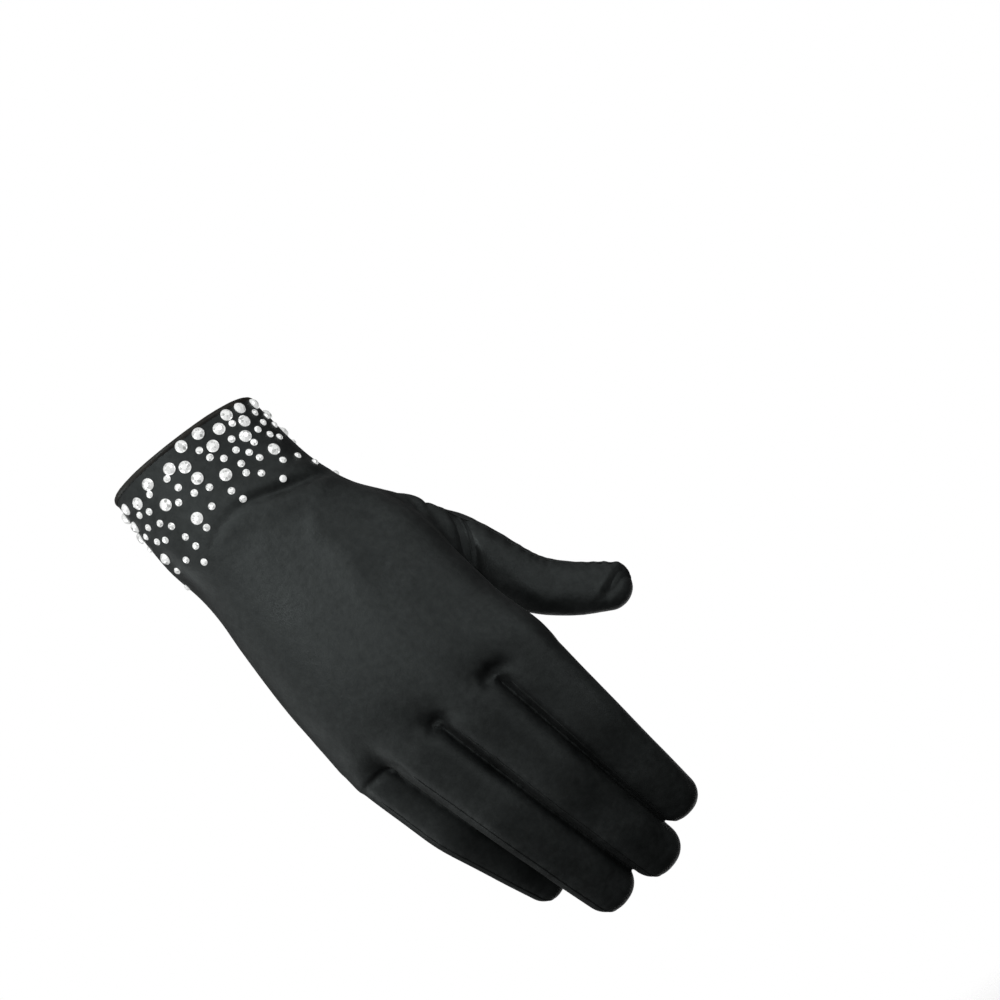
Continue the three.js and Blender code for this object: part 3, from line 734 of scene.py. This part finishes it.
SATIN = satin_material("satin", 0.52, (0.0165, 0.0182, 0.018))
HEM_SATIN = satin_material("hem_satin", 0.46, (0.021, 0.017, 0.0135))
SEAM_SATIN = satin_material("seam_satin", 0.4, (0.014, 0.015, 0.015))
THREAD = satin_material("thread", 0.6, (0.014, 0.014, 0.014))
CRYSTAL = crystal_material("crystal")


# The satin

MARGIN = 3.0  # round the part's box, mm
low = np.array(cad_low) / MM - MARGIN
high = np.array(cad_high) / MM + MARGIN

SATIN_ROUNDS = 4
LINING_ROUNDS = 3
KNUCKLE_HEIGHT = -103.0  # middle of the part of the hand where the satin is eased, mm
KNUCKLE_REACH = 13.0
KNUCKLE_END = 1.4  # share of that reach where the easing ends
EASE_ALL_ROUND = 0.6  # how much of it there is between the fingers
EASE_ROUNDS = 40
EASE_SHARE = 0.5  # share of its pull that a point follows in one round


def knuckle_share(points, normal):
    """Where the satin is stretched smooth over the knuckles, leaving the crotches sharp."""
    share = smooth(KNUCKLE_END - np.abs(points[:, 2] - KNUCKLE_HEIGHT) / KNUCKLE_REACH)
    return share * smooth(EASE_ALL_ROUND + np.abs(normal[:, 1]) + np.maximum(normal[:, 0], 0))


def ease(points, faces, share):
    """Draws each point towards the points beside it, by its own share."""
    for _ in range(EASE_ROUNDS):
        points = points + pull_to_neighbours(points, faces) * EASE_SHARE * share[:, None]
    return points


def lay_cloth(distance, top, step, rounds):
    """Points, normals and faces of a sheet of satin that ends level at the rim."""
    points, faces = surface_net(distance, low, (*high[:2], top), step)
    rim = points[:, 2] > points[:, 2].max() - step * 0.5
    return *settle(distance, points, faces, rounds, rim), faces


def draw_satin():
    points, normal, faces = lay_cloth(glove_distance, RIM_CUT, GRID, SATIN_ROUNDS)
    points = ease(points, faces, knuckle_share(points, normal))
    points = points + normal * fold_rise(points, normal)[:, None]
    return mesh_object("satin_skin", points, faces, SATIN)


def lining_distance(points):
    return glove_distance(points) + CLOTH


def draw_inside():
    top = RIM_CUT + LINING_RISE
    points, normal, faces = lay_cloth(lining_distance, top, LINING_GRID, LINING_ROUNDS)
    points = points + normal * np.minimum(fold_rise(points, normal), 0)[:, None]
    return mesh_object("inner_face", points, faces[:, ::-1], SATIN)


def cuff_spot(turn, depth, offset=0):
    """Points of the cuff's section, `offset` mm outside the satin."""
    middle, reach, edge, back, front, _ = body_section(depth)
    grow = 2 / BODY_SQUARENESS
    c, s = np.cos(turn), np.sin(turn)
    across = np.sign(c) * np.abs(c) ** grow * (reach + offset)
    rise = np.sign(s) * np.abs(s) ** grow * (np.where(s > 0, back, front) + offset)
    return np.stack(np.broadcast_arrays(middle + across, edge - rise, -depth), -1)


def loop_faces(rows, count, closed):
    """Faces over rows of `count` points each, every row a closed loop."""
    faces = []
    for row in range(rows if closed else rows - 1):
        for step in range(count):
            a, b = row * count, (row + 1) % rows * count
            after = (step + 1) % count
            faces.append((a + step, a + after, b + after, b + step))
    return faces


def add_tube(points, faces, rows, sides):
    """Adds a tube with closed ends. A row is the middle of a section and its two half widths."""
    base, last = len(points), len(points) + (len(rows) - 1) * sides
    for middle, one, two in rows:
        for side in range(sides):
            angle = 2 * math.pi * side / sides
            points.append(middle + one * math.cos(angle) + two * math.sin(angle))
    faces += [tuple(base + i for i in face) for face in loop_faces(len(rows), sides, False)]
    faces += [tuple(range(base, base + sides))[::-1], tuple(range(last, last + sides))]


HEM_POINTS = 300
HEM_ROUND = 18
HEM_POWER = 0.8  # rounds the hem's section, 1 for an ellipse
HEM_TAPER = 0.24  # how much thinner the hem is at its lower edge, mm
TAPER_START = 0.5  # how far below the rim it starts to get thinner, mm
HEM_RIPPLE = 0.03  # height of the waves along the hem
FINE_WAVES = 31  # their numbers round the hem
WIDE_WAVES = 13
WAVE_BENDS = 5  # how often and how far the fine ones are spaced unevenly
WAVE_BEND = 2


def draw_hem():
    """A soft tube round the rim, drawn in a little under its row of stitches."""
    turns = np.linspace(0, 2 * math.pi, HEM_POINTS, endpoint=False)
    round_it = np.linspace(0, 2 * math.pi, HEM_ROUND, endpoint=False)
    half = (CLOTH + 2 * HEM_PROUD) / 2
    rows = []
    for turn in round_it:
        c, s = math.cos(turn), math.sin(turn)
        out = -CLOTH / 2 + math.copysign(abs(c) ** HEM_POWER, c) * half
        down = HEM_HEIGHT / 2 - math.copysign(abs(s) ** HEM_POWER, s) * HEM_HEIGHT / 2
        fine = np.sin(turns * FINE_WAVES + WAVE_BEND * np.sin(turns * WAVE_BENDS))
        ripple = HEM_RIPPLE * fine + HEM_RIPPLE * np.sin(turns * WIDE_WAVES)
        slope = HEM_TAPER * smooth((down - TAPER_START) / (HEM_HEIGHT - TAPER_START)) if c > 0 else 0
        rows.append(cuff_spot(turns, np.full(HEM_POINTS, down), out + ripple - slope))
    faces = loop_faces(HEM_ROUND, HEM_POINTS, True)
    return mesh_object("rolled_hem", np.concatenate(rows), faces, HEM_SATIN)


STITCHES = 74
STITCH_DEPTH = 1.75  # of the row of stitches below the rim, mm
STITCH_LENGTH = 1.35
STITCH_RADIUS = 0.16
STITCH_SINK = 0.04  # how far their middle lies below the hem's face
STITCH_SHIFT = 0.02  # how far they lie out and in by turns
STITCH_SLANT = 0.12
STITCH_TURN = 0.01  # half of the angle that gives a stitch its way, radians
STITCH_SIDES = 6
STITCH_PROFILE = [(-1, 0.15), (-0.8, 0.75), (-0.3, 1), (0.3, 1), (0.8, 0.75), (1, 0.15)]  # along, radius


def draw_stitches():
    """A row of short stitches that holds the hem down."""
    points, faces = [], []
    offset = HEM_PROUD - HEM_TAPER - STITCH_SINK
    for index in range(STITCHES):
        turn = 2 * math.pi * index / STITCHES
        ends = np.array([turn - STITCH_TURN, turn + STITCH_TURN])
        pair = cuff_spot(ends, np.full(2, STITCH_DEPTH), offset)
        way = pair[1] - pair[0]
        way /= np.linalg.norm(way)
        out = np.cross(way, (0, 0, 1))
        centre = pair.mean(0) + out * STITCH_SHIFT * (-1) ** index
        up_way = np.cross(out, way) + way * STITCH_SLANT
        rows = [(centre + way * along * STITCH_LENGTH / 2, out * radius * STITCH_RADIUS,
                 up_way * radius * STITCH_RADIUS) for along, radius in STITCH_PROFILE]
        add_tube(points, faces, rows, STITCH_SIDES)
    return mesh_object("hem_stitches", points, faces, THREAD)


SEAM_WIDTH = 0.32  # half the width of a seam's welt, mm
SEAM_HEIGHT = 0.26
SEAM_SIDES = 7
SEAM_STEP = 0.7  # distance between two of its sections, mm
SEAM_ROUNDS = 3  # rounds in which its course is smoothed
STITCH_SPACING = 2.1
SEAM_PINCH = 0.07  # share by which a stitch draws the welt in
PINCH_POWER = 6  # the higher, the shorter a pinch is
SEAM_TAPER = 6  # length over which a welt runs out at its ends, mm
SEAM_THIN = 0.1  # share of its size left at its very ends
SEAM_PROUD = 0.02  # how far its middle stands above the satin, mm
SEAM_SINK = 0.25  # how much lower its very ends are
SEAM_TIP = 0.96  # share of a finger's tip that its seams run over
SEAM_PAST = 1  # how far from a finger's crotch its seams start, mm
INDEX_SEAM_RISE = 6  # the same for the index finger's seam to the thumb
THUMB_SEAM_STARTS = (30, 40)  # along the thumb
HEM_SPACE = 0.4  # between the hem and a seam of the cuff
SEAM_STOP = 2  # how far that seam stops above the end of the cuff or palm


def tube_path(tube, angle, start):
    """A seam along one side of a finger, over its tip."""
    end = tube.tip_start + tube.tip_length * SEAM_TIP
    arc = np.arange(start, end, SEAM_STEP)
    return tube.spot(arc, np.full(len(arc), float(angle)))


def body_path(turn, end):
    """A seam down one side of the cuff and palm, from the hem."""
    depth = np.arange(HEM_HEIGHT + HEM_SPACE, end - SEAM_STOP, SEAM_STEP)
    middle, reach, edge, _, _, tilt = body_section(depth)
    across = math.cos(turn) * reach
    return np.stack([middle + across * np.cos(tilt), edge - across * np.sin(tilt), -depth], 1)


def seam_paths():
    paths = []
    for name, tube in TUBES.items():
        (near_side, _), (far_side, _) = tube_seams(name)
        rise = INDEX_SEAM_RISE if name == "index" else SEAM_PAST
        one = tube_path(tube, near_side, FINGER_ROOT - rise)
        two = tube_path(tube, far_side, FINGER_ROOT + SEAM_PAST)
        paths.append(np.vstack([one, two[::-1]]))
    one, two = [tube_path(THUMB, angle, start) for (angle, _), start in zip(THUMB_SEAMS, THUMB_SEAM_STARTS)]
    paths.append(np.vstack([one, two[::-1]]))
    return paths + [body_path(math.pi, CUFF_LENGTH + PALM_LENGTH), body_path(0, CUFF_LENGTH)]


def draw_seams():
    """Narrow welts where the satin is sewn, pinched a little at each stitch."""
    points, faces = [], []
    for path in seam_paths():
        hits = [skin.closest_point_on_mesh((spot * MM).tolist()) for spot in path]
        places = np.array([place for _, place, _, _ in hits]) / MM
        outs = np.array([out for _, _, out, _ in hits])
        for _ in range(SEAM_ROUNDS):
            places[1:-1] = (places[:-2] + places[1:-1] * 2 + places[2:]) / 4
            outs[1:-1] = (outs[:-2] + outs[1:-1] * 2 + outs[2:]) / 4
        way = unit(np.gradient(places, axis=0))
        across = unit(np.cross(way, outs))
        outs = np.cross(across, way)
        run = np.concatenate([[0], np.cumsum(np.linalg.norm(np.diff(places, axis=0), axis=1))])
        taper = smooth(run / SEAM_TAPER) * smooth((run[-1] - run) / SEAM_TAPER)
        swell = 1 - SEAM_PINCH * np.abs(np.cos(math.pi * run / STITCH_SPACING)) ** PINCH_POWER
        swell *= taper * (1 - SEAM_THIN) + SEAM_THIN
        rises = SEAM_PROUD - SEAM_SINK * (1 - taper)
        rows = [(place + out * rise, aside * SEAM_WIDTH * size, out * SEAM_HEIGHT * size)
                for place, out, aside, size, rise in zip(places, outs, across, swell, rises)]
        add_tube(points, faces, rows, SEAM_SIDES)
    return mesh_object("seam_welts", points, faces, SEAM_SATIN)


# Stones. The rows are the part's: share of the cuff's length, then the angles round the cuff of the
# large and small stones, in degrees from the thumb's side over the back of the hand
STONE_ROWS = [
    (0.083, (13, 36, 51, 76, 88), ()), (0.145, (63, 117, 153), ()), (0.163, (99, 173), (24, 52)),
    (0.193, (42, 135), (82,)), (0.21, (), (9, 104, 121)), (0.228, (74, 92), ()),
    (0.265, (), (25, 61, 142)), (0.285, (161,), (80,)), (0.303, (51,), (9, 37, 131)),
    (0.317, (), (102,)), (0.355, (91, 116, 174), (64, 74)), (0.38, (), (30, 49, 143)),
    (0.407, (), (108, 155)), (0.427, (), (22, 58, 97, 130)), (0.465, (80,), (68, 90, 174)),
    (0.505, (40,), (55, 124, 146)), (0.545, (), (70, 137)), (0.59, (106,), (84, 95)),
    (0.615, (), (42, 63)), (0.635, (154,), (25, 122)), (0.69, (), (83, 106)),
    (0.74, (), (15, 56, 121)), (0.762, (), (137, 155)), (0.87, (), (127, 177)),
]
PALM_SIDE_REACH = 0.37  # the part's large stones on the palm's side lie above this share
LARGE_STONE = 3.9  # across, mm
LARGE_HEIGHT = 1.35
SMALL_STONE = 2.3
SMALL_HEIGHT = 0.85
STONE_SIDES = 8
TABLE = 0.4  # radius of the table as a share of the stone's
STARS = (0.73, 0.74)  # radius and height of the points of its stars
GIRDLE = 0.26  # height of the girdle's upper edge
FLAT_BACK = 0.97  # radius of its flat back
STONE_TIP = 0.05  # how far the stones are tipped out of true
STONE_LIFT = 0.05  # thickness of the glue, mm
GLUE_RANDOM = 7
LOWER_FACET_GLINT = 0.4  # how much brighter the painted glint of the lower facets is


def cut_stone(size, height):
    """A brilliant with a flat back: table, stars, kites, lower facets and girdle."""
    n = STONE_SIDES

    def ring(count, radius, rise, shift=0.0):
        angles = 2 * math.pi * (np.arange(count) + shift) / count
        return [(math.cos(a) * radius, math.sin(a) * radius, rise) for a in angles]

    half = size / 2
    points = (ring(n, half * TABLE, height) + ring(n, half * STARS[0], height * STARS[1], 0.5)
              + ring(2 * n, half, height * GIRDLE) + ring(2 * n, half * FLAT_BACK, 0))
    faces = [tuple(range(n))]
    for i in range(n):
        j = (i + 1) % n
        star, last_star = n + i, n + (i - 1) % n
        main, low_side, after = 2 * n + 2 * i, 2 * n + 2 * i + 1, 2 * n + (2 * i + 2) % (2 * n)
        faces += [(i, star, j), (last_star, main, star, i), (star, main, low_side), (star, low_side, after)]
    for i in range(2 * n):
        j = (i + 1) % (2 * n)
        faces.append((2 * n + i, 4 * n + i, 4 * n + j, 2 * n + j))
    faces.append(tuple(range(4 * n, 6 * n))[::-1])
    return np.array(points), faces


def draw_stones(name, places, size, height, random):
    """Cut stones glued to the satin, each turned and tipped a little its own way."""
    shape, shape_faces = cut_stone(size, height)
    points, faces, light = [], [], []
    for down, angle in places:
        start = cuff_spot(np.radians([float(angle)]), np.array([down * CUFF_LENGTH]))[0]
        _, spot, out, _ = skin.closest_point_on_mesh((start * MM).tolist())
        tip = Vector(random.normal(0, STONE_TIP, 3).tolist())
        turn = (out + tip).normalized().to_track_quat("Z", "Y").to_matrix()
        spin = Matrix.Rotation(random.uniform(0, math.pi), 3, "Z")
        matrix = np.array(turn @ spin)
        base = len(points)
        points.extend(shape @ matrix.T + np.array(spot) / MM + np.array(out) * STONE_LIFT)
        for face in shape_faces:
            faces.append(tuple(base + i for i in face))
            # painted glint: a random painted brightness for each facet, more for the facets away from the
            # table
            light.append(random.uniform(0, 1) + (0 if min(face) < STONE_SIDES else LOWER_FACET_GLINT))
    stones = mesh_object(name, points, faces, CRYSTAL, flat=True)
    # the painted glint is stored in the facet colour attribute, which the crystal material reads
    shade = stones.data.color_attributes.new("facet", "FLOAT_COLOR", "CORNER")
    values = np.repeat(light, [len(face) for face in faces])
    shade.data.foreach_set("color", np.stack([values, values, values, np.ones_like(values)], 1).ravel())
    return stones


skin = draw_satin()
inside = draw_inside()
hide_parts("back_panel", "palm_panel", "thumb", "cuff")
hem = draw_hem()
stitches = draw_stitches()
seams = draw_seams()
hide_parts("cuff_hem")

random = np.random.default_rng(GLUE_RANDOM)
large_places, small_places = [], []
for side in (0, 180):
    for down, large, small in STONE_ROWS:
        on_part = side == 0 or down < PALM_SIDE_REACH
        (large_places if on_part else small_places).extend((down, angle + side) for angle in large)
        small_places.extend((down, angle + side) for angle in small)
large_stones = draw_stones("large_stones", large_places, LARGE_STONE, LARGE_HEIGHT, random)
small_stones = draw_stones("small_stones", small_places, SMALL_STONE, SMALL_HEIGHT, random)
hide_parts(*[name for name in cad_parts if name.startswith("rhinestone")])

for piece, slot in ((skin, "satin"), (inside, "satin"), (hem, "hem_satin"), (stitches, "hem_satin"),
                    (seams, "satin"), (large_stones, "crystal"), (small_stones, "crystal")):
    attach(piece, "root")

for name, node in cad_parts.items():
    node.data.materials.clear()
    node.data.materials.append(CRYSTAL if name.startswith("rhinestone") else HEM_SATIN)


# Camera, light and floor

VIEW_DISTANCE = 0.9
PIXEL = 0.31 * MM  # size of a pixel of the photograph in the plane of the wrist
PIXELS = 1000
RISE = math.radians(-9.5)  # the camera looks up a little
ROLL = math.radians(38)
WRIST_AT = (184, 451)  # where the wrist's centre is in the picture
SENSOR = 36
CLIP = (0.01, 50)  # nearest and furthest that the camera sees, m

toward = np.array([0, -math.cos(RISE), math.sin(RISE)])
level = np.array([1.0, 0, 0])
upright = np.cross(toward, level)
right = math.cos(ROLL) * level - math.sin(ROLL) * upright
up = math.sin(ROLL) * level + math.cos(ROLL) * upright
aim = (PIXELS / 2 - WRIST_AT[0]) * PIXEL * right - (PIXELS / 2 - WRIST_AT[1]) * PIXEL * up

camera_data = bpy.data.cameras.new("camera")
camera_data.sensor_width = SENSOR
camera_data.lens = SENSOR * VIEW_DISTANCE / (PIXELS * PIXEL)
camera_data.clip_start, camera_data.clip_end = CLIP
camera = link("camera", camera_data)
turn = Matrix(np.array([right, up, toward]).T.tolist()).to_4x4()
camera.matrix_world = Matrix.Translation((aim + toward * VIEW_DISTANCE).tolist()) @ turn
bpy.context.scene.camera = camera


GLOVE_MIDDLE = (0.03, 0, -0.1)
SOFTBOX_DISTANCE = 1.1
SPOT_DISTANCE = 0.9
SOFTBOXES = [  # name, the way it stands in, size in m and power in W
    ("key", (-0.55, -0.8, 0.45), 0.9, 1.6),
    ("fill", (0.8, -0.7, 0.3), 0.8, 1.6),
    ("light along the edge", (-0.95, 0.0, -0.1), 0.6, 2.2),
    ("light on the palm", (0.1, 0.95, -0.25), 0.9, 2),
]
# Pools of light: name, the place it shines at, the way it stands in, reach and size in m, power in W
SPOTS = [
    ("spot on the back", (0.014, -0.015, -0.05), (-0.38, -0.84, 0.42), 0.06, 0.04, 14),
    ("spot on the thumb", (0.07, 0.015, -0.102), (0.25, -0.9, -0.35), 0.034, 0.02, 7),
]


def add_light(name, kind, aim_at, way, distance, power):
    data = bpy.data.lights.new(name, kind)
    data.energy = power
    way = Vector(way).normalized()
    turn = way.to_track_quat("Z", "Y").to_matrix().to_4x4()
    link(name, data).matrix_world = Matrix.Translation(Vector(aim_at) + way * distance) @ turn
    return data


for name, way, size, power in SOFTBOXES:
    softbox = add_light(name, "AREA", GLOVE_MIDDLE, way, SOFTBOX_DISTANCE, power)
    softbox.shape = "DISK"
    softbox.size = size
for name, aim_at, way, reach, size, power in SPOTS:
    spot = add_light(name, "SPOT", aim_at, way, SPOT_DISTANCE, power)
    spot.shadow_soft_size = size
    spot.spot_size = 2 * math.atan(reach / SPOT_DISTANCE)
    spot.spot_blend = 1.0

LIGHT_SIDE = (-0.35, -0.55, 0.76)
SHADE = (-0.5, 0.7)  # where the world's shading starts and ends, from its dark to its bright side
SHADES = (0.03, 0.31)  # its strength on those sides


def draw_world():
    """White where the camera looks past the glove, and softly shaded where it lights the glove."""
    world = bpy.data.worlds.new("studio")
    world.use_nodes = True
    tree = world.node_tree
    background = set_inputs(tree.nodes["Background"], {"Color": (1, 1, 1, 1)})
    place = tree.nodes.new("ShaderNodeTexCoord").outputs["Generated"]
    toward_light = vector_math(tree, "DOT_PRODUCT", place, LIGHT_SIDE).outputs["Value"]
    path = tree.nodes.new("ShaderNodeLightPath")
    strength = set_inputs(tree.nodes.new("ShaderNodeMix"), {"B": 1.0})
    tree.links.new(path.outputs["Is Camera Ray"], strength.inputs["Factor"])
    tree.links.new(new_range(tree, toward_light, SHADE, SHADES, "SMOOTHSTEP"), strength.inputs["A"])
    tree.links.new(strength.outputs["Result"], background.inputs["Strength"])
    bpy.context.scene.world = world


draw_world()
bpy.context.scene.view_settings.view_transform = "Standard"

FLOOR_HEIGHT = -0.32
FLOOR_EDGE = (0.4, 0.8)  # distances from the middle between which the floor fades out, m
FLOOR_SIDES = 96


def draw_floor():
    """A pale disc under the glove, whose edge fades into the white of the studio."""
    radius, height = FLOOR_EDGE[1] / MM, FLOOR_HEIGHT / MM
    turns = np.linspace(0, 2 * math.pi, FLOOR_SIDES, endpoint=False)
    points = [(0, 0, height)] + [(math.cos(t) * radius, math.sin(t) * radius, height) for t in turns]
    faces = [(0, 1 + i, 1 + (i + 1) % FLOOR_SIDES) for i in range(FLOOR_SIDES)]
    material, tree, shader = new_material("floor", {
        "Roughness": 0.7, "Base Color": (0.9, 0.9, 0.9, 1),
        "Emission Color": (1, 1, 1, 1), "Emission Strength": 0.55})
    place = tree.nodes.new("ShaderNodeTexCoord").outputs["Object"]
    flat = vector_math(tree, "MULTIPLY", place, (1, 1, 0)).outputs["Vector"]
    reach = vector_math(tree, "LENGTH", flat).outputs["Value"]
    tree.links.new(new_range(tree, reach, FLOOR_EDGE, (1, 0), "SMOOTHSTEP"), shader.inputs["Alpha"])
    disc = mesh_object("floor", points, faces, material)
    disc.visible_glossy = False
    disc.visible_diffuse = False
    return disc


draw_floor()
